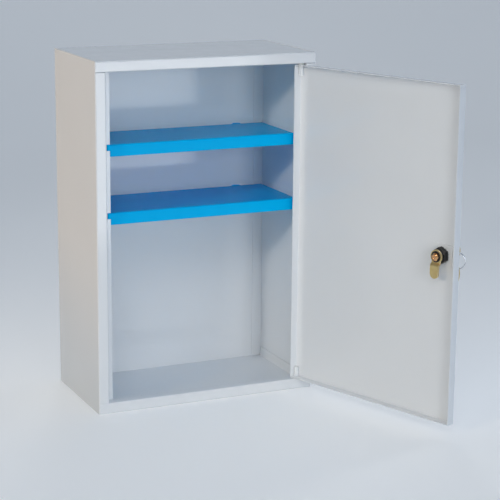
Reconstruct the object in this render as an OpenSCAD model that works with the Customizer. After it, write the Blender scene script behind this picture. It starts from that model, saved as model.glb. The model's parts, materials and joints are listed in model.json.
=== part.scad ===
// Lockable wall cabinet for medicines: a case of folded and welded sheet steel,
// two fixed shelves, a door hung on two pins, and a cam lock with its keys.
// Origin: middle of the underside. +Z is up and the door is on the -Y side.
// The door, and all that it carries, stands open by door_open degrees.

/* [Case] */
// Width over the side walls
cab_w = 300; // [260:5:400]
// Height over top and bottom
cab_h = 450; // [420:5:600]
// Depth from the front frame to the wall
cab_d = 160; // [130:5:220]
// Thickness of the folded steel sheet
sheet = 1; // [0.8:0.1:1.2]
// Inside radius of every sheet bend
bend_r = 0.8; // [0.6:0.1:1]
// Width of the frame round the door
frame_w = 14; // [13:0.5:20]
// Depth from the frame's front to the stop behind the door
stop_depth = 13.5; // [13.3:0.1:16]
// How far the stop reaches into the opening
stop_w = 9; // [7:0.5:12]
// Depth of the lips that hold the hinge pins
lip_depth = 14; // [12:0.5:18]
// Width of the flanges that carry the back panel
rear_flange = 15; // [12:0.5:20]
// How far the back panel's upright edges lie inside the case
back_inset = 3; // [2:0.5:5]
// Seam between the ends of neighbouring flanges
seam = 0.2; // [0.1:0.05:0.3]

/* [Wall fixing] */
// Diameter of the wall screw holes
wall_hole_d = 7; // [5:0.5:8]
// Distance between the wall screw holes
wall_hole_span = 220; // [160:5:240]
// Distance of the wall screw holes below the top
wall_hole_drop = 28; // [22:1:35]

/* [Shelves] */
// Height of the upper shelf's surface
shelf_high = 336.5; // [315:0.5:350]
// Height of the lower shelf's surface
shelf_low = 250; // [245:0.5:262]
// Height of the lip along a shelf's front
shelf_lip = 15; // [13:0.5:17]
// How far that lip stands above the shelf's surface
shelf_rise = 8; // [6:0.5:9]
// Depth of that lip, which is folded up, over and down
shelf_fold = 4.4; // [4.2:0.2:6]
// Height of the flanges at a shelf's sides and back
shelf_flange = 11; // [8:0.5:12]
// How far a front tab reaches into its notch
tab_reach = 3.6; // [2.5:0.1:5]
// Height of a front tab
tab_h = 7.5; // [6:0.5:10]
// Width of a rear tab
rear_tab_w = 14; // [10:0.5:20]
// Distance between the middles of the rear tabs
rear_tab_span = 218; // [180:2:230]
// Height of the slots that take the rear tabs
rear_slot_h = 2.2; // [1.8:0.1:4]
// Clearance between a shelf and what it lies in
shelf_fit = 0.4; // [0.2:0.1:0.5]

/* [Door] */
// Angle by which the door stands open
door_open = 110; // [0:5:110]
// Gap between the closed door and the frame
door_gap = 1.5; // [1.4:0.1:2]
// Depth of the door's folded edges
door_d = 12; // [11:0.5:12]

/* [Hinge] */
// Diameter of the hinge pins
pin_d = 3; // [2.5:0.1:3.2]
// Radial running clearance of the pins
pin_fit = 0.05; // [0.03:0.01:0.08]
// Outside diameter of the sleeves in the door's corners
sleeve_d = 6; // [5.4:0.1:6.4]
// Length of the sleeves
sleeve_l = 13; // [10:0.5:20]
// Gap beside a sleeve or a pin's head, which the sleeve's weld fills
weld_gap = 0.1; // [0.05:0.05:0.2]
// Diameter of a pin's head
pin_head_d = 4.4; // [3.8:0.1:4.6]
// Height of a pin's head
pin_head_h = 1.2; // [0.8:0.1:1.5]
// Diameter of the plastic hinge washers
hinge_washer_d = 7; // [6:0.1:7]
// Clearance between pieces that move past each other
rest_gap = 0.3; // [0.2:0.1:0.4]

/* [Lock] */
// Distance of the lock from the door's free edge
lock_inset = 25; // [24:0.5:28]
// Diameter of the lock's threaded barrel
barrel_d = 16; // [15.6:0.1:17]
// Distance across the barrel's two flats
barrel_flats = 14.4; // [14.2:0.1:15]
// Length of the barrel behind the door's outer face
barrel_l = 12; // [11.5:0.1:12.4]
// Diameter of the barrel's bezel
bezel_d = 20; // [19:0.5:24]
// Height of the barrel's bezel
bezel_h = 2; // [1.5:0.1:2.5]
// Diameter of the turning plug
plug_d = 12; // [11.6:0.1:12.2]
// Clearance between the lock's pieces
lock_fit = 0.1; // [0.05:0.01:0.12]
// Width across the flats of the lock's nut
nut_af = 19; // [18:0.5:22]
// Height of the lock's nut
nut_h = 6.6; // [5:0.1:7]
// Angle at which the tightened nut stands
nut_turn = 26; // [-30:1:30]
// Diameter of the toothed washer under the nut
tooth_washer_d = 21; // [20:0.5:24]
// Number of teeth on the toothed washer
tooth_count = 16; // [12:2:24]
// Thickness of the toothed washer
tooth_washer_t = 0.8; // [0.6:0.1:1]
// Width of the plate that backs the door at the lock
doubler_w = 30; // [28:1:36]
// Height of the plate that backs the door at the lock
doubler_h = 27; // [26:1:36]
// Thickness of the plate that backs the door at the lock
doubler_t = 1.5; // [1:0.1:1.8]

/* [Cam] */
// Reach of the cam from the lock's axis
cam_l = 27; // [25:0.5:33]
// Diameter of the cam's base
cam_base_d = 17; // [16.5:0.5:20]
// Width of the cam's arm
cam_w = 13; // [12:0.5:15]
// Thickness of the cam
cam_t = 2; // [1.6:0.1:2]
// Offset between the cam's arm and its base
cam_crank = 3; // [2.4:0.1:3.6]
// Side of the plug's square tail
tail_w = 6; // [5:0.1:6.4]
// Thickness of the stop washer behind the cam
stop_washer_t = 0.8; // [0.6:0.1:0.8]
// Angle that the lock turns through
lock_turn = 90; // [60:5:90]
// Width of the stop washer's tab
stop_tab_w = 3; // [2:0.1:4]
// Diameter of the spring washer under the screw
spring_washer_d = 14; // [12:0.2:15]
// Thickness of the spring washer
spring_washer_t = 0.6; // [0.4:0.1:0.8]
// Width across the flats of the cam screw's head
screw_af = 9.5; // [7:0.5:10]
// Height of the cam screw's head
screw_head_h = 2.8; // [2:0.1:3.5]
// Diameter of the cam screw
screw_d = 4; // [3:0.1:4.2]
// Length of the cam screw under its head
screw_l = 4.4; // [4:0.1:4.8]

/* [Keys] */
// Thickness of a key
key_t = 2; // [1.8:0.1:2.2]
// Height of a key's blade
blade_h = 7; // [6:0.1:7.4]
// Length of a key's blade
blade_l = 11.4; // [10:0.1:11.4]
// Length of a key's neck
neck_l = 8; // [7:0.5:12]
// Width of a key's neck
neck_w = 10; // [9:0.5:12]
// Diameter of a key's bow
bow_d = 22; // [20:0.5:28]
// Diameter of the hole in a key's bow
bow_hole_d = 6; // [5.8:0.1:7]
// Wall left between that hole and the end of the bow
bow_wall = 1.8; // [1.5:0.1:3]
// Number of wafers in the plug, and of cuts on a key
wafer_count = 4; // [3:1:4]
// Distance from one wafer to the next
wafer_pitch = 2.4; // [2.2:0.1:2.4]
// Thickness of a wafer
wafer_t = 1; // [0.8:0.1:1.1]
// Width of a wafer
wafer_w = 8; // [6:0.2:8.4]
// Mean diameter of the key ring
ring_d = 21; // [18:0.5:28]
// Diameter of the key ring's wire
wire_d = 1.2; // [1:0.1:1.3]
// Angle between the ring's axis and the lock's axis
ring_turn = 30; // [20:1:40]
// Angle between the spare key and the ring's axis
spare_turn = -10; // [-15:1:0]

/* [Hidden] */
$fn = 64;
bend_steps = 6;

// How far a cutting shape runs past what it cuts
past = 1;
bend_out = bend_r + sheet;
y_front = -cab_d / 2;
y_back = cab_d / 2;
back_front = y_back - sheet;

// Opening between the frame's returns, and between the stops
frame_in = cab_w / 2 - frame_w;
stop_in = frame_in - stop_w;
stop_front = y_front + stop_depth;
// Where the bend of the top's and the bottom's front flange ends
rail_back = y_front + bend_out + seam;

// Door in its closed place, and its hinge axis
door_half = frame_in - door_gap;
door_low = frame_w + door_gap;
door_high = cab_h - frame_w - door_gap;
hinge_in = sheet + max(sleeve_d / 2, pin_head_d / 2 + bend_r) + weld_gap;
hinge_x = door_half - hinge_in;
hinge_y = y_front + hinge_in;

// Lock axis, and the depths of the lock's stack behind the door's outer face
lock_x = lock_inset - door_half;
lock_z = (door_low + door_high) / 2;
doubler_back = sheet + doubler_t;
nut_front = doubler_back + tooth_washer_t;
cam_front = barrel_l + stop_washer_t;
cam_back = cam_front + cam_t;
screw_seat = cam_back + spring_washer_t;
head_r = (plug_d + barrel_flats) / 4 + 0.4;
head_h = bezel_h * 0.75;
lug_in = plug_d / 2 + 0.7;
tab_angle = 2 * asin(stop_tab_w / 2 / lug_in);
lug_slack = 3;
keyway_end = barrel_l - 2.3;
wafer_first = 1;

// Keys and ring, measured outward from the door's outer face and up from the lock's axis
shoulder = bezel_h + rest_gap;
bow_middle = neck_l + bow_d / 2 - 1;
hole_middle = bow_middle + bow_d / 2 - bow_wall - bow_hole_d / 2;
ring_out = shoulder + hole_middle;
// Height of the ring's wire above or below the middle of the hole that it hangs in
wire_drop = bow_hole_d / 2 - 1.3 * wire_d;
ring_up = -wire_drop - ring_d / 2;
spare_up = ring_up - ring_d / 2 - wire_drop;

case_white = [0.90, 0.91, 0.93];
shelf_blue = [0.05, 0.55, 0.85];
steel_grey = [0.66, 0.67, 0.69];
brass_yellow = [0.78, 0.66, 0.34];
nut_black = [0.06, 0.06, 0.07];
nylon_white = [0.85, 0.84, 0.80];

// ---- Folded sheet ----

function unit(v) = v / norm(v);
function left_of(v) = [-v[1], v[0]];
function turned(v, a) = [v[0] * cos(a) - v[1] * sin(a), v[0] * sin(a) + v[1] * cos(a)];

// Middle line of the bend at b on the way from a to c, as pairs of point and normal
function bend(a, b, c, r) =
    let (u = unit(b - a), v = unit(c - b))
    let (angle = atan2(cross(u, v), u * v), side = sign(angle))
    let (centre = b - u * r * tan(abs(angle) / 2) + left_of(u) * r * side)
    [
        for (i = [0:bend_steps])
            let (n = turned(left_of(u), angle * i / bend_steps))
            [centre - n * r * side, n]
    ];

// Middle line of a whole folded strip, with a bend at each inner point of the path
function folded(path, r) =
    let (last = len(path) - 1)
    let (first_n = left_of(unit(path[1] - path[0])), last_n = left_of(unit(path[last] - path[last - 1])))
    concat(
        [[path[0], first_n]],
        [for (i = [1:last - 1]) each bend(path[i - 1], path[i], path[i + 1], r)],
        [[path[last], last_n]]
    );

// Section through a folded strip: its two faces lie half a thickness off the middle line
module folded_strip(path, t = sheet) {
    line = folded(path, bend_r + t / 2);
    one_face = [for (p = line) p[0] + p[1] * t / 2];
    other_face = [for (i = [len(line) - 1:-1:0]) line[i][0] - line[i][1] * t / 2];
    polygon(concat(one_face, other_face));
}

// ---- Placing ----

module box(low, high) {
    translate(low) cube(high - low);
}

// A section drawn in X and Y, run from z0 to z1
module along_z(z0, z1) {
    translate([0, 0, z0]) linear_extrude(z1 - z0) children();
}

// A section drawn in Y and Z, run from x0 to x1
module along_x(x0, x1) {
    translate([x0, 0, 0]) rotate([90, 0, 90]) linear_extrude(x1 - x0) children();
}

// A section drawn in X and Z, run from y0 to y1
module along_y(y0, y1) {
    translate([0, y1, 0]) rotate([90, 0, 0]) linear_extrude(y1 - y0) children();
}

module both_sides() {
    children();
    mirror([1, 0, 0]) children();
}

// Top and bottom take the same pieces, turned over
module turned_over() {
    translate([0, 0, cab_h]) mirror([0, 0, 1]) children();
}

// From the closed door's place to where it stands open
module on_door() {
    translate([hinge_x, hinge_y, 0]) rotate([0, 0, door_open]) translate([-hinge_x, -hinge_y, 0]) children();
}

// The lock's own place: +X as the closed door's, +Y up, +Z outward from the door's outer face
module at_lock() {
    on_door() translate([lock_x, y_front, lock_z]) rotate([90, 0, 0]) children();
}

module disc(r, z0, z1) {
    translate([0, 0, z0]) cylinder(r = r, h = z1 - z0);
}

// What a rounded corner at the origin leaves over, for a shape in the positive quadrant
module corner_waste(r) {
    difference() {
        translate([-past, -past]) square(r + past);
        translate([r, r]) circle(r);
    }
}

// ---- Case ----

// Notch in a stop that takes a tab of the shelf with its surface at this height
module tab_notch(shelf) {
    tab_top = shelf + shelf_rise;
    box([-stop_in - tab_reach - shelf_fit * 2, stop_front - past, tab_top - tab_h],
        [-stop_in + past, stop_front + sheet + past, tab_top + shelf_fit]);
}

module side_panel() {
    wall = -cab_w / 2 + sheet / 2;
    rear = back_front - sheet / 2;
    front = y_front + sheet / 2;
    inner = -frame_in - sheet / 2;
    stop = stop_front + sheet / 2;
    rear_part = [[-cab_w / 2 + rear_flange, rear], [wall, rear]];
    frame_part = [[wall, front], [inner, front], [inner, stop], [-stop_in, stop]];
    frame_end = frame_w + seam;
    difference() {
        along_z(frame_end, cab_h - frame_end) folded_strip(concat(rear_part, frame_part));
        for (shelf = [shelf_low, shelf_high]) tab_notch(shelf);
    }
    side_panel_end();
    turned_over() side_panel_end();

    // Beside the top and the bottom the wall ends behind their front flanges
    module side_panel_end() {
        difference() {
            along_z(cab_h - frame_end, cab_h) folded_strip(concat(rear_part, [[wall, y_front + sheet]]));
            along_z(cab_h - frame_end, cab_h) translate([-cab_w / 2, y_front]) corner_waste(bend_out);
            box([-cab_w / 2 - past, y_front, cab_h - bend_out - seam],
                [-frame_in, rail_back + seam, cab_h + past]);
        }
    }
}

// Top of the case; the bottom is the same piece turned over. A front flange with a lip
// spans the full width, and the side flanges stand inside the walls.
module end_panel() {
    front = y_front + sheet / 2;
    flat = cab_h - sheet / 2;
    low = cab_h - frame_w;
    lip = low + sheet / 2;
    half = cab_w / 2 - sheet - seam;
    side = half - sheet / 2;
    lip_back = y_front + lip_depth;
    difference() {
        union() {
            along_x(-cab_w / 2, cab_w / 2) {
                folded_strip([[lip_back, lip], [front, lip], [front, flat], [rail_back, flat]]);
            }
            along_y(rail_back - seam, back_front) {
                folded_strip([[-side, low], [-side, flat], [side, flat], [side, low]]);
            }
        }
        both_sides() {
            along_z(low - past, cab_h + past) translate([-cab_w / 2, y_front]) corner_waste(bend_out);
            // The lip ends at the wall
            box([half, y_front + sheet, low - past], [cab_w / 2 + past, lip_back + past, cab_h - bend_out]);
            // The side flange starts behind the lip
            box([half - bend_out, rail_back - seam, low + sheet],
                [half + past, lip_back + rest_gap, cab_h - bend_out]);
            // The wall's rear flange passes the corner
            box([cab_w / 2 - rear_flange - seam, back_front - bend_out - seam, low - past],
                [cab_w / 2 + past, back_front + past, cab_h + past]);
        }
        translate([hinge_x, hinge_y, 0]) disc(pin_d / 2, low - past, low + sheet + past);
    }
}

module side_left() color(case_white) side_panel();

module side_right() color(case_white) mirror([1, 0, 0]) side_panel();

module top_panel() color(case_white) end_panel();

module bottom_panel() color(case_white) turned_over() end_panel();

module back_panel() {
    slot_w = rear_tab_w + shelf_fit * 2;
    color(case_white) difference() {
        box([-cab_w / 2 + back_inset, back_front, 0], [cab_w / 2 - back_inset, y_back, cab_h]);
        for (x = [-1, 1] * rear_tab_span / 2, shelf = [shelf_low, shelf_high]) {
            box([x - slot_w / 2, back_front - past, shelf - sheet],
                [x + slot_w / 2, y_back + past, shelf - sheet + rear_slot_h]);
        }
        for (x = [-1, 1] * wall_hole_span / 2) {
            translate([x, y_back + past, cab_h - wall_hole_drop]) rotate([90, 0, 0]) {
                disc(wall_hole_d / 2, 0, sheet + past * 2);
            }
        }
    }
}

// A shelf is folded down at its sides and back, and its front is folded into a lip that
// keeps packs in place. The lip's tabs lie in notches of the stops, and the rear tabs pass
// through slots in the back panel.
module shelf(top) {
    flat = top - sheet / 2;
    low = top - shelf_flange;
    lip_top = top + shelf_rise;
    lip_flat = lip_top - sheet / 2;
    lip = stop_front + sheet / 2;
    fold = lip + shelf_fold - sheet;
    rear = back_front - rest_gap - sheet / 2;
    side = cab_w / 2 - sheet - rest_gap - sheet / 2;
    lip_half = stop_in - shelf_fit;
    tab_half = lip_half + tab_reach;
    rear_tab_in = (rear_tab_span - rear_tab_w) / 2;
    rear_tab_out = (rear_tab_span + rear_tab_w) / 2;
    bend_room = bend_out + past;
    color(shelf_blue) union() {
        difference() {
            along_x(-tab_half, tab_half) {
                folded_strip([[lip, lip_top - shelf_lip], [lip, lip_flat], [fold, lip_flat],
                    [fold, flat], [rear, flat], [rear, low]]);
            }
            both_sides() box([lip_half, lip - bend_room, lip_top - shelf_lip - past],
                [tab_half + past, (lip + fold) / 2, lip_top - tab_h]);
            both_sides() box([rear_tab_in - sheet, rear - bend_room, low],
                [rear_tab_out + sheet, rear + bend_room, top - sheet]);
        }
        along_y(fold + bend_r + sheet / 2, back_front - sheet - rest_gap) {
            folded_strip([[-side, low], [-side, flat], [side, flat], [side, low]]);
        }
        both_sides() box([rear_tab_in, rear - bend_room, top - sheet], [rear_tab_out, y_back, top]);
    }
}

module shelf_upper() shelf(shelf_high);

module shelf_lower() shelf(shelf_low);

// ---- Hinges ----

// A pin is pressed up to its head into the lip, and its shank carries the door's sleeve
module hinge_pin() {
    lip_low = cab_h - frame_w;
    color(steel_grey) translate([hinge_x, hinge_y, 0]) {
        disc(pin_d / 2, door_high - sheet - sleeve_l + past, lip_low + sheet);
        disc(pin_head_d / 2, lip_low + sheet, lip_low + sheet + pin_head_h);
    }
}

module hinge_washer(z0) {
    color(nylon_white) translate([hinge_x, hinge_y, 0]) difference() {
        disc(hinge_washer_d / 2, z0, z0 + door_gap - rest_gap);
        disc(pin_d / 2 + pin_fit, z0 - past, z0 + door_gap + past);
    }
}

// The sleeve's outer end is eased to lie inside the door's bend
module hinge_sleeve() {
    bore = pin_d / 2 + pin_fit;
    outer = sleeve_d / 2;
    sleeve_top = door_high - sheet;
    sleeve_end = sleeve_top - sleeve_l;
    color(case_white) translate([hinge_x, hinge_y, 0]) rotate_extrude() {
        polygon([[bore, sleeve_end], [outer, sleeve_end], [outer, sleeve_top - bend_r],
            [outer - bend_r, sleeve_top], [bore, sleeve_top]]);
    }
}

module hinge_pin_top() hinge_pin();

module hinge_pin_bottom() turned_over() hinge_pin();

module hinge_washer_top() on_door() hinge_washer(door_high);

module hinge_washer_bottom() hinge_washer(frame_w);

module hinge_sleeve_top() on_door() hinge_sleeve();

module hinge_sleeve_bottom() on_door() turned_over() hinge_sleeve();

// ---- Door ----

// A slab whose four front edges are rounded
module eased_slab(half, z0, z1, y0, y1, r) {
    intersection() {
        along_z(z0, z1) difference() {
            translate([-half, y0]) square([2 * half, y1 - y0]);
            translate([-half, y0]) corner_waste(r);
            translate([half, y0]) mirror([1, 0]) corner_waste(r);
        }
        along_x(-half, half) difference() {
            translate([y0, z0]) square([y1 - y0, z1 - z0]);
            translate([y0, z0]) corner_waste(r);
            translate([y0, z1]) mirror([0, 1]) corner_waste(r);
        }
    }
}

// Outline of the barrel behind the bezel, enlarged by a clearance
module barrel_outline(fit) {
    intersection() {
        circle(barrel_d / 2 + fit);
        square([barrel_flats + 2 * fit, barrel_d * 2], center = true);
    }
}

module door_panel() {
    color(case_white) difference() {
        on_door() difference() {
            eased_slab(door_half, door_low, door_high, y_front, y_front + door_d, bend_out);
            eased_slab(door_half - sheet, door_low + sheet, door_high - sheet,
                y_front + sheet, y_front + door_d + past, bend_r);
            translate([hinge_x, hinge_y, 0]) disc(pin_d / 2 + pin_fit, door_low - past, door_high + past);
        }
        at_lock() along_z(-sheet - past, past) barrel_outline(lock_fit);
    }
}

module lock_doubler() {
    color(case_white) at_lock() along_z(-doubler_back, -sheet) difference() {
        square([doubler_w, doubler_h], center = true);
        barrel_outline(lock_fit);
    }
}

// ---- Lock ----

// Sector of the stop lugs that the washer's tab sweeps, from the open to the locked place
module tab_window() {
    reach = barrel_d;
    from = -90 - lock_turn - tab_angle / 2 - lug_slack;
    to = -90 + tab_angle / 2 + lug_slack;
    steps = 6;
    arc = [for (i = [0:steps]) let (a = from + (to - from) * i / steps) reach * [cos(a), sin(a)]];
    polygon(concat([[0, 0]], arc));
}

module lock_barrel() {
    edge = 0.6;
    color(steel_grey) at_lock() difference() {
        union() {
            rotate_extrude() polygon([[0, 0], [bezel_d / 2, 0], [bezel_d / 2, bezel_h - edge * 1.5],
                [bezel_d / 2 - edge, bezel_h - edge / 2], [bezel_d / 2 - edge * 3, bezel_h], [0, bezel_h]]);
            along_z(-barrel_l, 0) barrel_outline(0);
            // Lugs on the rear end, which the stop washer's tab turns between
            along_z(-cam_front + lock_fit, -barrel_l) difference() {
                barrel_outline(0);
                circle(lug_in);
                tab_window();
            }
        }
        disc(plug_d / 2 + lock_fit / 2, -barrel_l - stop_washer_t - past, bezel_h + past);
        disc(head_r + lock_fit / 2, bezel_h - head_h - lock_fit, bezel_h + past);
    }
}

// Toothed lock washer: its teeth stand between a root circle and a tip circle
module lock_tooth_washer() {
    root = tooth_washer_d / 2 - 1.4;
    tip = tooth_washer_d / 2;
    step = 360 / tooth_count;
    outline = [
        for (i = [0:tooth_count - 1], p = [[0, root], [0.2, tip], [0.6, tip], [0.8, root]])
            p[1] * [cos((i + p[0]) * step), sin((i + p[0]) * step)]
    ];
    color(steel_grey) at_lock() along_z(-nut_front, -doubler_back) difference() {
        polygon(outline);
        circle(barrel_d / 2 + lock_fit);
    }
}

// Hexagon nut with the corners turned off on its outer end
module lock_nut() {
    corner = nut_af / 2 / cos(30);
    turned_off = 0.8;
    color(nut_black) at_lock() translate([0, 0, -nut_front - nut_h]) rotate([0, 0, nut_turn]) difference() {
        intersection() {
            cylinder(r = corner, h = nut_h, $fn = 6);
            rotate_extrude() {
                polygon([[0, 0], [nut_af / 2, 0], [corner, turned_off], [corner, nut_h], [0, nut_h]]);
            }
        }
        translate([0, 0, -past]) cylinder(r = barrel_d / 2 + lock_fit / 2, h = nut_h + 2 * past);
    }
}

module wafer_places() {
    for (i = [0:wafer_count - 1]) translate([0, 0, -wafer_first - i * wafer_pitch]) children();
}

module lock_plug() {
    slot = wafer_t + 2 * lock_fit;
    color(steel_grey) at_lock() difference() {
        union() {
            disc(plug_d / 2, -barrel_l, bezel_h - head_h / 2);
            disc(head_r, bezel_h - head_h, bezel_h);
            along_z(-cam_back + lock_fit, -barrel_l) square(tail_w, center = true);
        }
        along_z(-keyway_end, bezel_h + past) {
            square([key_t + 4 * lock_fit, blade_h + 4 * lock_fit], center = true);
        }
        wafer_places() cube([wafer_w + 2 * lock_fit, plug_d + past, slot], center = true);
        disc(screw_d / 2, -cam_back - past, -screw_seat + screw_l);
    }
}

// Brass wafers across the plug, each with a window for the key's blade
module lock_wafers() {
    color(brass_yellow) at_lock() wafer_places() along_z(-wafer_t / 2, wafer_t / 2) difference() {
        intersection() {
            circle(plug_d / 2 - lock_fit);
            square([wafer_w, plug_d], center = true);
        }
        square([key_t + 6 * lock_fit, blade_h + 6 * lock_fit], center = true);
    }
}

module lock_stop_washer() {
    color(steel_grey) at_lock() along_z(-cam_front, -barrel_l) difference() {
        union() {
            circle(lug_in - lock_fit * 2);
            translate([-stop_tab_w / 2, lock_fit - barrel_d / 2]) {
                square([stop_tab_w, barrel_d / 2 - lock_fit]);
            }
        }
        square(tail_w + 2 * lock_fit, center = true);
    }
}

// Cranked cam: a round base on the plug's tail, a step, and an arm with a round end
module lock_cam() {
    base_r = cam_base_d / 2;
    base = -cam_front - cam_t / 2;
    arm = base - cam_crank;
    step = (spring_washer_d + cam_t) / 2;
    crank = [[base_r + past, base], [-step, base], [-step - cam_crank, arm], [-cam_l - past, arm]];
    color(brass_yellow) at_lock() difference() {
        intersection() {
            along_x(-base_r, base_r) folded_strip(crank, cam_t);
            along_z(arm - cam_t, base + cam_t) {
                circle(base_r);
                translate([0, cam_w / 2 - cam_l]) circle(cam_w / 2);
                translate([-cam_w / 2, cam_w / 2 - cam_l]) square([cam_w, cam_l - cam_w / 2]);
            }
        }
        along_z(base - cam_t, base + cam_t) square(tail_w + 2 * lock_fit, center = true);
    }
}

module cam_spring_washer() {
    color(nut_black) at_lock() difference() {
        disc(spring_washer_d / 2, -screw_seat, -cam_back);
        disc(screw_d / 2 + lock_fit, -screw_seat - past, -cam_back + past);
    }
}

module cam_screw() {
    corner = screw_af / 2 / cos(30);
    turned_off = 0.4;
    color(brass_yellow) at_lock() {
        translate([0, 0, -screw_seat - screw_head_h]) intersection() {
            cylinder(r = corner, h = screw_head_h, $fn = 6);
            rotate_extrude() {
                polygon([[0, 0], [screw_af / 2, 0], [corner, turned_off],
                    [corner, screw_head_h], [0, screw_head_h]]);
            }
        }
        disc(screw_d / 2, -screw_seat, -screw_seat + screw_l);
    }
}

// ---- Keys ----

// Outline of a key: its shoulder at the origin, the bow along +X and the blade along -X
module key_outline() {
    cut = 1.2;
    tip = 1.5;
    difference() {
        union() {
            translate([bow_middle, 0]) circle(bow_d / 2);
            translate([0, -neck_w / 2]) square([neck_l + bow_d / 4, neck_w]);
            polygon([[past, blade_h / 2], [-blade_l + tip, blade_h / 2], [-blade_l, blade_h / 2 - tip],
                [-blade_l, -blade_h / 2 + tip], [-blade_l + tip, -blade_h / 2], [past, -blade_h / 2]]);
        }
        translate([hole_middle, 0]) circle(bow_hole_d / 2);
        // One notch in the blade's edge for each wafer
        for (i = [0:wafer_count - 1]) {
            depth = cut * (0.5 + 0.25 * ((i * 2) % 3));
            translate([-shoulder - wafer_first - i * wafer_pitch, blade_h / 2]) {
                polygon([[-0.3, -depth], [0.3, -depth], [0.3 + depth, past / 2], [-0.3 - depth, past / 2]]);
            }
        }
    }
}

module lock_key() {
    color(brass_yellow) at_lock() translate([0, 0, shoulder]) rotate([0, -90, 0]) {
        along_z(-key_t / 2, key_t / 2) key_outline();
    }
}

// Split ring: two turns of wire side by side, each with its own end gap
module key_ring() {
    gap = 0.8;
    pitch = wire_d * 0.85;
    color(steel_grey) at_lock() translate([0, ring_up, ring_out]) rotate([0, ring_turn, 0]) difference() {
        rotate_extrude() {
            translate([ring_d / 2, pitch / 2]) circle(wire_d / 2);
            translate([ring_d / 2, -pitch / 2]) circle(wire_d / 2);
        }
        for (end = [[20, 1], [-5, -1]]) {
            rotate([0, 0, end[0]]) box([ring_d / 2 - wire_d, -gap / 2, min(0, end[1] * wire_d * 2)],
                [ring_d / 2 + wire_d, gap / 2, max(0, end[1] * wire_d * 2)]);
        }
    }
}

module spare_key() {
    color(brass_yellow) at_lock() translate([0, spare_up, ring_out]) rotate([0, ring_turn + spare_turn, 0]) {
        along_x(-key_t / 2, key_t / 2) translate([-hole_middle, 0]) key_outline();
    }
}

side_left();
side_right();
top_panel();
bottom_panel();
back_panel();
shelf_upper();
shelf_lower();
hinge_pin_top();
hinge_pin_bottom();
hinge_washer_top();
hinge_washer_bottom();
door_panel();
hinge_sleeve_top();
hinge_sleeve_bottom();
lock_doubler();
lock_barrel();
lock_tooth_washer();
lock_nut();
lock_plug();
lock_wafers();
lock_stop_washer();
lock_cam();
cam_spring_washer();
cam_screw();
lock_key();
key_ring();
spare_key();
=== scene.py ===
"""Lockable wall cabinet: finishes, small details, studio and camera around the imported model."""

import json
import math

import bpy
from mathutils import Matrix, Vector

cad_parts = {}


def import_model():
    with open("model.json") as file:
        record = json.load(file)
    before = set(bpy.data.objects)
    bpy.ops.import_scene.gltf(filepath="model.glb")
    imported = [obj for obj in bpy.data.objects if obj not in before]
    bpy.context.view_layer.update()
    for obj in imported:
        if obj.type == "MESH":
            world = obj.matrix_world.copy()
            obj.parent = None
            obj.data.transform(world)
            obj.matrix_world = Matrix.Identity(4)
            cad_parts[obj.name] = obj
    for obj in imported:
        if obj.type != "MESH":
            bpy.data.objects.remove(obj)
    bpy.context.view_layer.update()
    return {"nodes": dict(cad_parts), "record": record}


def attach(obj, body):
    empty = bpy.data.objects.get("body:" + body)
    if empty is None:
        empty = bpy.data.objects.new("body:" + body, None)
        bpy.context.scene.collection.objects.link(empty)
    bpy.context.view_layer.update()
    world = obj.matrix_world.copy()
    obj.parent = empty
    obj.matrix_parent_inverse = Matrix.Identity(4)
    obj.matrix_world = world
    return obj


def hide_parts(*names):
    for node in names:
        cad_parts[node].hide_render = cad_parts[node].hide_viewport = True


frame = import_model()
NODES = frame["nodes"]
MM = 0.001


# ---- Node helpers ----


class Nodes:
    """Short calls that build a node tree."""

    def __init__(self, tree):
        self.tree = tree

    def add(self, kind, inputs=(), **settings):
        """A node with its settings. Each input takes a socket's output or a constant."""
        node = self.tree.nodes.new(kind)
        for key, value in settings.items():
            setattr(node, key, value)
        for key, value in dict(inputs).items():
            self.feed(node.inputs[key], value)
        return node

    def feed(self, socket, value):
        if isinstance(value, bpy.types.NodeSocket):
            self.tree.links.new(value, socket)
        else:
            socket.default_value = value


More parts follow.
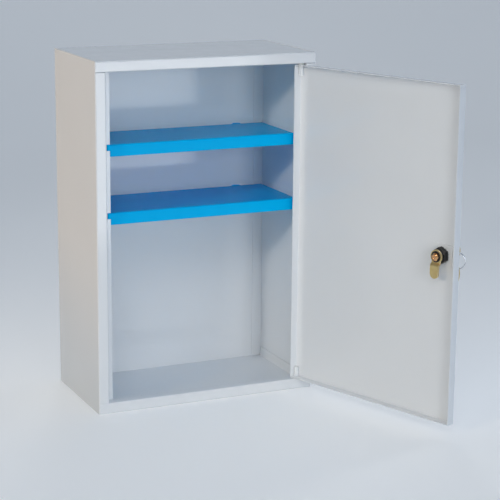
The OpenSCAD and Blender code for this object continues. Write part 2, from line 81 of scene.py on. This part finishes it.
class Finish(Nodes):
    """A material with one Principled shader, whose patterns lie on the object's own place."""

    NOISE_MIDDLE = (0.25, 0.75)
    RAMP_MIDDLE = (0.3, 0.7)
    EDGE_TURN = (0.99, 0.85)
    BEVEL_SAMPLES = 4

    def __init__(self, name):
        self.material = bpy.data.materials.new(name)
        self.material.use_nodes = True
        super().__init__(self.material.node_tree)
        self.bsdf = self.tree.nodes["Principled BSDF"]
        self.place = self.add("ShaderNodeTexCoord").outputs["Object"]

    def set(self, **values):
        """Sets the shader's sockets by their names in small letters."""
        for name, value in values.items():
            socket = name.replace("_", " ").title().replace("Ior", "IOR")
            self.feed(self.bsdf.inputs[socket], value)

    def noise(self, scale, detail, stretch=(1, 1, 1)):
        mapping = self.add("ShaderNodeMapping", {"Scale": stretch, "Vector": self.place})
        node = self.add("ShaderNodeTexNoise", {
            "Scale": scale, "Detail": detail, "Vector": mapping.outputs["Vector"]})
        return node.outputs["Fac"]

    def spread(self, value, low, high):
        """Takes the middle of a noise's range to low..high."""
        start, end = self.NOISE_MIDDLE
        node = self.add("ShaderNodeMapRange", {
            "From Min": start, "From Max": end, "To Min": low, "To Max": high, "Value": value})
        return node.outputs["Result"]

    def between(self, value, low, high):
        """A colour between two colours, by a noise's value."""
        node = self.add("ShaderNodeValToRGB", {"Fac": value})
        for stop, place, colour in zip(node.color_ramp.elements, self.RAMP_MIDDLE, (low, high)):
            stop.position = place
            stop.color = (*colour, 1)
        return node.outputs["Color"]

    def rounded(self, radius):
        """The surface's normal as if its edges were rounded."""
        node = self.add("ShaderNodeBevel", {"Radius": radius}, samples=self.BEVEL_SAMPLES)
        return node.outputs["Normal"]

    def edges(self, radius):
        """0 on the faces, rising to 1 on the edges."""
        flat = self.add("ShaderNodeNewGeometry").outputs["Normal"]
        dot = self.add("ShaderNodeVectorMath", {0: self.rounded(radius), 1: flat},
                       operation="DOT_PRODUCT")
        start, end = self.EDGE_TURN
        node = self.add("ShaderNodeMapRange", {
            "From Min": start, "From Max": end, "Value": dot.outputs["Value"]})
        return node.outputs["Result"]

    def mix(self, factor, first, second):
        """From a socket's colour to a plain one."""
        node = self.add("ShaderNodeMix", {"Factor": factor, "A": first, "B": (*second, 1)},
                        data_type="RGBA")
        return node.outputs["Result"]

    def bump(self, *layers, edge=0.3 * MM):
        """Each layer is (height, depth in metres), over edges rounded by a small radius."""
        normal = self.rounded(edge)
        for height, depth in layers:
            node = self.add("ShaderNodeBump", {
                "Distance": depth, "Height": height, "Normal": normal})
            normal = node.outputs["Normal"]
        self.set(normal=normal)


def shade(colour, factor):
    return tuple(c * factor for c in colour)


# ---- Finishes ----


def powder_coat(name, colour, rough, shine):
    """Baked powder paint: an even colour, a clear gloss, and the soft waves of orange peel."""
    f = Finish(name)
    even = f.between(f.noise(9, 3), shade(colour, 0.98), colour)
    f.set(base_color=f.mix(f.edges(0.4 * MM), even, shade(colour, 0.90)),
          roughness=f.spread(f.noise(40, 4), rough - 0.03, rough + 0.05),
          specular_ior_level=shine)
    f.bump((f.noise(420, 1.5), 0.02 * MM), (f.noise(1900, 1), 0.003 * MM))
    return f.material


def plated(name, colour, rough, stretch=(1, 1, 1)):
    """Plated or polished metal: fine scratches along one direction, brighter on rubbed edges."""
    f = Finish(name)
    even = f.between(f.noise(300, 4), shade(colour, 0.82), colour)
    f.set(base_color=f.mix(f.edges(0.3 * MM), even, (0.85, 0.84, 0.82)),
          roughness=f.spread(f.noise(900, 5, stretch), rough - 0.06, rough + 0.08),
          metallic=1.0)
    f.bump((f.noise(2200, 4, stretch), 0.012 * MM), edge=0.2 * MM)
    return f.material


def yellow_zinc(name):
    """Yellow passivated zinc: straw colour that drifts towards pink."""
    f = Finish(name)
    straw = f.between(f.noise(90, 2), (0.66, 0.50, 0.18), (0.78, 0.63, 0.28))
    drift = f.mix(f.spread(f.noise(60, 2), 0.0, 0.3), straw, (0.72, 0.46, 0.26))
    # The edges are painted paler: a little rubbed wear, mostly a painted highlight on the cam's rim
    # and the arm's edges.
    f.set(base_color=f.mix(f.edges(0.6 * MM), drift, (0.95, 0.92, 0.86)),
          roughness=f.spread(f.noise(500, 3), 0.26, 0.38),
          metallic=1.0)
    f.bump((f.noise(900, 3, (1, 1, 0.2)), 0.006 * MM))
    return f.material


def copper_finish(name):
    """Passivated zinc on the cam's screw, drifted to a copper colour, with paler edges that are
    partly rubbed wear and partly a painted highlight.
    """
    f = Finish(name)
    even = f.between(f.noise(150, 3), (0.66, 0.30, 0.12), (0.80, 0.44, 0.20))
    # Paler edges: partly rubbed wear, partly a painted highlight on the head's edges.
    f.set(base_color=f.mix(f.edges(0.5 * MM), even, (0.92, 0.80, 0.66)),
          roughness=f.spread(f.noise(700, 3), 0.20, 0.28),
          metallic=1.0)
    f.bump((f.noise(1200, 3), 0.008 * MM), edge=0.4 * MM)
    return f.material


def black_finish(name):
    """Black oxide on machined steel, worn to the metal along its edges."""
    f = Finish(name)
    even = f.between(f.noise(500, 4), (0.012, 0.012, 0.014), (0.035, 0.034, 0.036))
    f.set(base_color=f.mix(f.edges(0.3 * MM), even, (0.30, 0.29, 0.28)),
          roughness=f.spread(f.noise(900, 3), 0.28, 0.45),
          metallic=0.6)
    f.bump((f.noise(1800, 3), 0.01 * MM))
    return f.material


def white_nylon(name):
    """Moulded nylon, a little cloudy."""
    f = Finish(name)
    f.set(base_color=f.between(f.noise(200, 2), (0.78, 0.76, 0.70), (0.86, 0.84, 0.79)),
          roughness=f.spread(f.noise(600, 2), 0.42, 0.55),
          subsurface_weight=0.1)
    f.bump((f.noise(1500, 2), 0.01 * MM))
    return f.material


WHITE = (0.90, 0.915, 0.935)
BLUE = (0.0, 0.50, 0.97)
ZINC = (0.62, 0.63, 0.65)
CHROME = (0.72, 0.72, 0.74)
BRASS = (0.80, 0.62, 0.30)
ALONG_THE_KEY = (1, 1, 0.15)

FINISHES = {
    "case_paint": powder_coat("white_powder_coat", WHITE, rough=0.1, shine=0.5),
    "shelf_paint": powder_coat("blue_powder_coat", BLUE, rough=0.18, shine=0.02),
    "pin_steel": plated("bright_zinc", ZINC, rough=0.30),
    "lock_chrome": plated("nickel_chrome", CHROME, rough=0.16),
    "lock_brass": plated("key_brass", BRASS, rough=0.24, stretch=ALONG_THE_KEY),
    "cam_plating": yellow_zinc("yellow_zinc"),
    "black_finish": black_finish("black_oxide"),
    "nylon": white_nylon("white_nylon"),
}
SCREW_FINISH = copper_finish("copper_zinc")


def dress_nodes():
    """Every CAD node takes the finish of its record slot."""
    for part in frame["record"]["subparts"]:
        node = NODES[part["node"]]
        node.data.materials.clear()
        node.data.materials.append(FINISHES[part["material_slot"]])


# ---- Small pieces ----


def mesh_piece(name, points, faces, finish, body):
    """A mesh from its points in metres, which rides on a body."""
    mesh = bpy.data.meshes.new(name)
    mesh.from_pydata(points, [], faces)
    mesh.materials.append(finish)
    piece = bpy.data.objects.new(name, mesh)
    bpy.context.scene.collection.objects.link(piece)
    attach(piece, body)
    return piece


# Rear tabs of the shelves, as part.scad has them
SHEET = 1 * MM
BACK = 80 * MM
SLOT_H = 2.2 * MM
TAB_W = 14 * MM
TAB_SPAN = 218 * MM
TAB_TOP = {"shelf_upper": 336.5 * MM, "shelf_lower": 250 * MM}

# The peened end of such a tab
PEEN_STEPS = 14
PEEN_BITE = 0.6 * MM
PEEN_FILL, PEEN_WAVE, PEEN_WAVES = 0.86, 0.08, 5
PEEN_RUN_IN = 6
PEEN_CROWN = 0.9
PEEN_FRONT, PEEN_MIDDLE, PEEN_REAR = 0.95, 0.5, 0.05


def tab_peen(node, side):
    """The end of a shelf's rear tab, hammered up so that it can't slip out of its slot."""
    left = side * TAB_SPAN / 2 - TAB_W / 2
    top = TAB_TOP[node]
    points = []
    for i in range(PEEN_STEPS + 1):
        t = i / PEEN_STEPS
        fill = PEEN_FILL + PEEN_WAVE * math.sin(PEEN_WAVES * t + side)
        rise = (SLOT_H - SHEET) * fill * min(1, PEEN_RUN_IN * t, PEEN_RUN_IN * (1 - t))
        section = [(PEEN_FRONT, top - PEEN_BITE), (PEEN_FRONT, top + rise * PEEN_CROWN),
                   (PEEN_MIDDLE, top + rise), (PEEN_REAR, top - PEEN_BITE)]
        points += [(left + TAB_W * t, BACK - SHEET * depth, z) for depth, z in section]
    corners = len(section)
    faces = [(corners * (i + 1) + j, corners * (i + 1) + (j + 1) % corners,
              corners * i + (j + 1) % corners, corners * i + j)
             for i in range(PEEN_STEPS) for j in range(corners)]
    faces += [tuple(range(corners)),
              tuple(corners * PEEN_STEPS + j for j in reversed(range(corners)))]
    name = f"{node}_peen_{'right' if side > 0 else 'left'}"
    mesh_piece(name, points, faces, FINISHES["shelf_paint"], "case")


# Lock's axis: a point on it, the way into the cabinet, and the way to the door's free edge
LOCK_PLACE = Vector((216.303, -299.93, 225.0)) * MM
LOCK_IN = Vector((-0.939693, -0.34202, 0.0))
LOCK_SIDE = Vector((0.34202, -0.939693, 0.0))

# Screw that holds the cam, in mm; depths run along the lock's axis from the door's outer face
SCREW_STEPS = 72
SCREW_FLATS = 9.5
SCREW_TOP, SCREW_SEAT, SCREW_END = 18.2, 15.4, 11.0
SCREW_FACE, SCREW_SLOPE = 3.1, 0.545
SCREW_DISH, SCREW_DISH_FLOOR, SCREW_DISH_DEPTH = 2.3, 1.7, 0.35
SCREW_SHANK, SCREW_TIP, SCREW_TIP_LENGTH = 2.0, 1.6, 0.4


def formed_screw():
    """Cold formed screw: a dished hexagon head with a turned chamfer, and a chamfered shank."""
    points = []
    for i in range(SCREW_STEPS):
        angle = 2 * math.pi * i / SCREW_STEPS
        hexagon = SCREW_FLATS / 2 / math.cos(angle % (math.pi / 3) - math.pi / 6)
        profile = [(SCREW_DISH_FLOOR, SCREW_TOP - SCREW_DISH_DEPTH),
                   (SCREW_DISH, SCREW_TOP),
                   (SCREW_FACE, SCREW_TOP),
                   (hexagon, SCREW_TOP - (hexagon - SCREW_FACE) * SCREW_SLOPE),
                   (hexagon, SCREW_SEAT),
                   (SCREW_SHANK, SCREW_SEAT),
                   (SCREW_SHANK, SCREW_END + SCREW_TIP_LENGTH),
                   (SCREW_TIP, SCREW_END)]
        across = LOCK_SIDE * math.cos(angle) + Vector((0, 0, math.sin(angle)))
        points += [LOCK_PLACE + (across * r + LOCK_IN * depth) * MM for r, depth in profile]
    rings = len(profile)
    starts = [rings * i for i in range(SCREW_STEPS)]
    faces = [(a + j, a + j + 1, b + j + 1, b + j)
             for a, b in zip(starts, starts[1:] + starts[:1]) for j in range(rings - 1)]
    faces += [tuple(starts), tuple(a + rings - 1 for a in reversed(starts))]
    piece = mesh_piece("cam_screw_formed", points, faces, SCREW_FINISH, "plug")
    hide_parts("cam_screw")


# ---- Studio ----

CENTRE = Vector((0.05, -0.12, 0.22))


def lamp(name, kind, place, aim, power, colour, diffuse=True, glossy=True, **settings):
    """A lamp that the camera doesn't see, with the settings of its kind."""
    data = bpy.data.lights.new(name, kind)
    data.energy = power
    data.color = colour
    for key, value in settings.items():
        setattr(data, key, value)
    light = bpy.data.objects.new(name, data)
    light.location = place
    light.rotation_euler = (aim - Vector(place)).to_track_quat("-Z", "Y").to_euler()
    light.visible_camera = False
    light.visible_diffuse = diffuse
    light.visible_glossy = glossy
    bpy.context.scene.collection.objects.link(light)


def spot(name, place, power, colour, radius, angle, aim=CENTRE, blend=1.0, glossy=True):
    """A lamp with a soft cone, so that its light on the floor has no edge."""
    lamp(name, "SPOT", place, aim, power, colour, glossy=glossy, shadow_soft_size=radius,
         spot_size=math.radians(angle), spot_blend=blend)


# Backdrop: how far it runs to the sides, to the front and to the wall, and its bend
BACKDROP_HALF, BACKDROP_FRONT = 60.0, -60.0
BACKDROP_DEPTH, BACKDROP_WALL, BACKDROP_BEND = 3.0, 5.0, 1.4
BEND_STEPS = 16
BACKDROP_GLOW = 0.24


def backdrop():
    """Pale floor that curves up into a wall behind the object."""
    foot = BACKDROP_DEPTH - BACKDROP_BEND
    profile = [(BACKDROP_FRONT, 0.0), (foot, 0.0)]
    for i in range(1, BEND_STEPS + 1):
        a = math.pi / 2 * i / BEND_STEPS
        profile.append((foot + BACKDROP_BEND * math.sin(a), BACKDROP_BEND * (1 - math.cos(a))))
    profile.append((BACKDROP_DEPTH, BACKDROP_WALL))
    points = [(x, y, z) for y, z in profile for x in (-BACKDROP_HALF, BACKDROP_HALF)]
    faces = [(2 * i, 2 * i + 1, 2 * i + 3, 2 * i + 2) for i in range(len(profile) - 1)]
    mesh = bpy.data.meshes.new("backdrop")
    mesh.from_pydata(points, [], faces, shade_flat=False)
    paper = Finish("backdrop_paper")
    paper.set(base_color=paper.between(paper.noise(1.5, 2), (0.80, 0.81, 0.82), (0.82, 0.83, 0.84)),
              roughness=0.9, specular_ior_level=0.1, emission_color=(0.94, 0.97, 1.0, 1),
              emission_strength=seen_rays(paper, BACKDROP_GLOW))
    mesh.materials.append(paper.material)
    floor = bpy.data.objects.new("backdrop", mesh)
    bpy.context.scene.collection.objects.link(floor)


def seen_rays(nodes, strength):
    """A strength for the rays that look at the backdrop, and none for its light on the object."""
    path = nodes.add("ShaderNodeLightPath").outputs
    seen = path["Is Camera Ray"]
    for kind in ("Is Glossy Ray", "Is Transmission Ray"):
        seen = nodes.add("ShaderNodeMath", {0: seen, 1: path[kind]},
                         operation="MAXIMUM").outputs["Value"]
    return nodes.add("ShaderNodeMath", {0: seen, 1: strength},
                     operation="MULTIPLY").outputs["Value"]


# Light all round: its colours to the left and to the right, where one turns into the other
# along x, and what the camera sees past the backdrop
SKY_LEFT, SKY_RIGHT, SKY_STRENGTH = (0.60, 0.54, 0.44, 1), (0.50, 0.71, 1.0, 1), 0.41
SKY_TURN = (-0.7, 0.2)
SEEN_SKY, SEEN_SKY_STRENGTH = (0.86, 0.90, 0.95, 1), 0.6


def world():
    """Soft light all round, from one colour on the left to another on the right."""
    sky = bpy.data.worlds.new("studio")
    sky.use_nodes = True
    nodes = Nodes(sky.node_tree)
    place = nodes.add("ShaderNodeTexCoord").outputs["Generated"]
    split = nodes.add("ShaderNodeSeparateXYZ", {"Vector": place})
    start, end = SKY_TURN
    level = nodes.add("ShaderNodeMapRange", {
        "From Min": start, "From Max": end, "Value": split.outputs["X"]})
    ramp = nodes.add("ShaderNodeValToRGB", {"Fac": level.outputs["Result"]})
    for stop, colour in zip(ramp.color_ramp.elements, (SKY_LEFT, SKY_RIGHT)):
        stop.color = colour
    light = nodes.add("ShaderNodeBackground", {
        "Color": ramp.outputs["Color"], "Strength": SKY_STRENGTH})
    plain = nodes.add("ShaderNodeBackground", {
        "Color": SEEN_SKY, "Strength": SEEN_SKY_STRENGTH})
    choice = nodes.add("ShaderNodeMixShader", {
        "Fac": nodes.add("ShaderNodeLightPath").outputs["Is Camera Ray"],
        1: light.outputs["Background"], 2: plain.outputs["Background"]})
    nodes.feed(nodes.tree.nodes["World Output"].inputs["Surface"], choice.outputs["Shader"])
    bpy.context.scene.world = sky


def studio():
    world()
    backdrop()
    # The small warm lamp far to the left that throws the cam's shadow, and the soft front light
    spot("side_key", (-2.67, -1.37, 1.2), 64, (1.0, 0.92, 0.78), radius=0.13, angle=48)
    spot("key", (-1.05, -2.1, 1.75), 46, (0.94, 0.97, 1.0), radius=0.55, angle=46)
    spot("front", (-0.15, -2.7, 0.6), 64, (0.95, 0.98, 1.0), radius=0.5, angle=44)
    # A pale panel that only the gloss of the paint and the metals mirror
    lamp("reflected_panel", "AREA", (0.285, -1.0, 0.2), Vector((-0.08, 0.08, 0.3)), 1.5,
         (0.92, 0.97, 1.0), diffuse=False, shape="RECTANGLE", size=0.4, size_y=0.4)
    # Weaker lamps for the sides that the photo shows at a slant or not at all
    spot("back_fill", (0.9, 2.3, 1.1), 60, (1.0, 1.0, 1.0), radius=0.4, angle=34, glossy=False)
    spot("warm_left", (-2.2, 1.6, 0.55), 60, (1.0, 0.60, 0.22), radius=0.1, angle=21,
         aim=Vector((-0.15, 0.0, 0.56)), blend=0.3, glossy=False)
    spot("right_fill", (2.5, 0.5, 0.9), 50, (1.0, 0.95, 0.88), radius=0.3, angle=36, glossy=False)


# ---- Camera ----

# Fitted to the object's corners in the 500 by 500 picture; the focal length is in its pixels
PICTURE = 500
FOCAL = 1637.4
SENSOR = 36
CLIP = (0.05, 200)
CAMERA_PLACE = Vector((-801.7, -1958.2, 684.8)) * MM
CAMERA_YAW, CAMERA_PITCH, CAMERA_ROLL = 24.612, -13.282, 0.498


def camera():
    data = bpy.data.cameras.new("camera")
    data.sensor_width = SENSOR
    data.lens = FOCAL / PICTURE * SENSOR
    data.clip_start, data.clip_end = CLIP
    view = bpy.data.objects.new("camera", data)
    yaw, pitch = math.radians(CAMERA_YAW), math.radians(CAMERA_PITCH)
    forward = Vector((math.sin(yaw) * math.cos(pitch), math.cos(yaw) * math.cos(pitch),
                      math.sin(pitch)))
    level = forward.to_track_quat("-Z", "Y").to_matrix()
    view.matrix_world = (level @ Matrix.Rotation(math.radians(CAMERA_ROLL), 3, "Z")).to_4x4()
    view.location = CAMERA_PLACE
    bpy.context.scene.collection.objects.link(view)
    bpy.context.scene.camera = view


dress_nodes()
for shelf in TAB_TOP:
    for side in (-1, 1):
        tab_peen(shelf, side)
formed_screw()
studio()
camera()
bpy.context.scene.view_settings.view_transform = "Standard"
